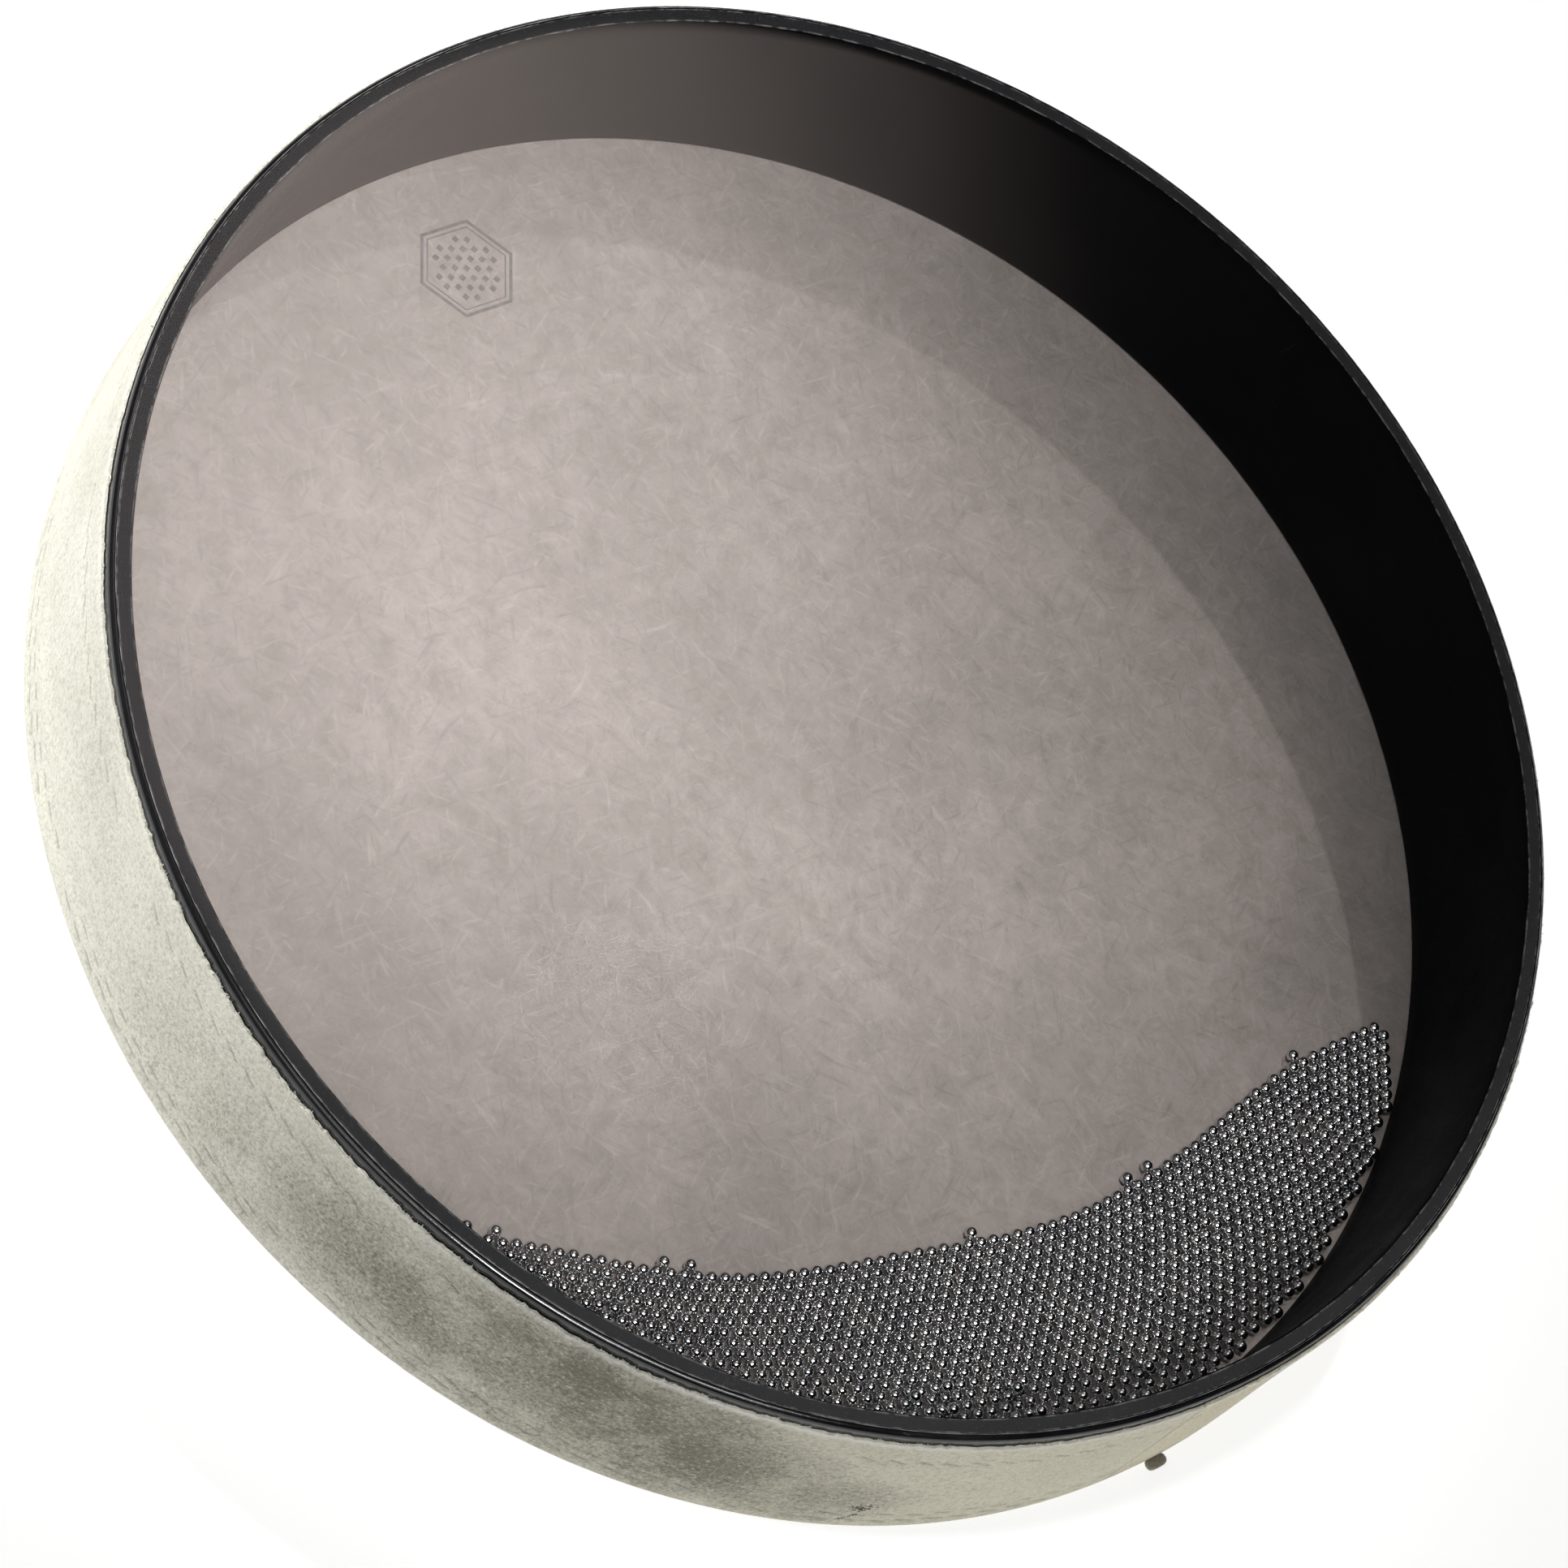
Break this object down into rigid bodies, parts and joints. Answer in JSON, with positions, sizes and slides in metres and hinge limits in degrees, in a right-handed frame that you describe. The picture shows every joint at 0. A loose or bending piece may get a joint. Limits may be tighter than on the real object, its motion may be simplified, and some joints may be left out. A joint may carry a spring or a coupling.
{
  "type": "ocean drum",
  "caption": "Shallow round two-headed ocean drum: clear upper head, translucent skin-like lower head, black hoop, cream fibre wrap and loose steel balls that roll inside with a surf sound.",
  "frame": {"origin": "middle of the flat face that the drum rests on, on the drum's axis", "axes": "+Z along the drum's axis, out of the clear head; -Y towards the bank of balls"},
  "size_m": [0.4101, 0.4102, 0.0635],
  "materials": {
    "black_fibre": "semi-gloss black, fine speckle on the upper edge",
    "adhesive": "cured, satin",
    "clear_film": "clear polyester film, glossy",
    "skin_film": "translucent fibre-laminated film, satin",
    "cream_fibre": "matte suede-like fibre sheet, speckled",
    "steel": "polished steel"
  },
  "bodies": {
    "drum": {"shell": "black_fibre", "upper_bond": "adhesive", "lower_bond": "adhesive", "clear_head": "clear_film", "skin_head": "skin_film", "outer_wrap": "cream_fibre", "wrap_tag": "cream_fibre"},
    "wave": {"ball_bank": "steel", "steel_ball_01": "steel", "steel_ball_02": "steel", "steel_ball_03": "steel", "steel_ball_04": "steel", "steel_ball_05": "steel", "steel_ball_06": "steel", "steel_ball_07": "steel", "steel_ball_08": "steel", "steel_ball_10": "steel", "steel_ball_11": "steel", "steel_ball_12": "steel", "steel_ball_13": "steel", "steel_ball_14": "steel", "steel_ball_15": "steel", "steel_ball_16": "steel", "steel_ball_17": "steel", "steel_ball_19": "steel", "steel_ball_20": "steel", "steel_ball_21": "steel", "steel_ball_22": "steel", "steel_ball_23": "steel", "steel_ball_24": "steel", "steel_ball_25": "steel", "steel_ball_26": "steel", "steel_ball_28": "steel", "steel_ball_29": "steel", "steel_ball_30": "steel", "steel_ball_31": "steel", "steel_ball_32": "steel", "steel_ball_33": "steel", "steel_ball_34": "steel", "steel_ball_35": "steel", "steel_ball_37": "steel", "steel_ball_38": "steel", "steel_ball_39": "steel", "steel_ball_40": "steel", "steel_ball_41": "steel", "steel_ball_42": "steel", "steel_ball_43": "steel", "steel_ball_44": "steel"},
    "rolling_ball_a": {"steel_ball_09": "steel"},
    "rolling_ball_b": {"steel_ball_18": "steel"},
    "rolling_ball_c": {"steel_ball_27": "steel"},
    "rolling_ball_d": {"steel_ball_36": "steel"}
  },
  "joints": [
    {"name": "wave_swirl", "type": "hinge", "parent": "drum", "child": "wave", "pos_m": [0, 0, 0.0024], "axis": [0, 0, 1], "continuous": true},
    {"name": "ball_a_roll", "type": "slide", "parent": "wave", "child": "rolling_ball_a", "axis": [0.5305, 0.8477, 0], "range_m": [0, 0.3482]},
    {"name": "ball_b_roll", "type": "slide", "parent": "wave", "child": "rolling_ball_b", "axis": [0.1028, 0.9947, 0], "range_m": [0, 0.3326]},
    {"name": "ball_c_roll", "type": "slide", "parent": "wave", "child": "rolling_ball_c", "axis": [-0.3867, 0.9222, 0], "range_m": [0, 0.3335]},
    {"name": "ball_d_roll", "type": "slide", "parent": "wave", "child": "rolling_ball_d", "axis": [-0.7548, 0.656, 0], "range_m": [0, 0.3477]}
  ]
}
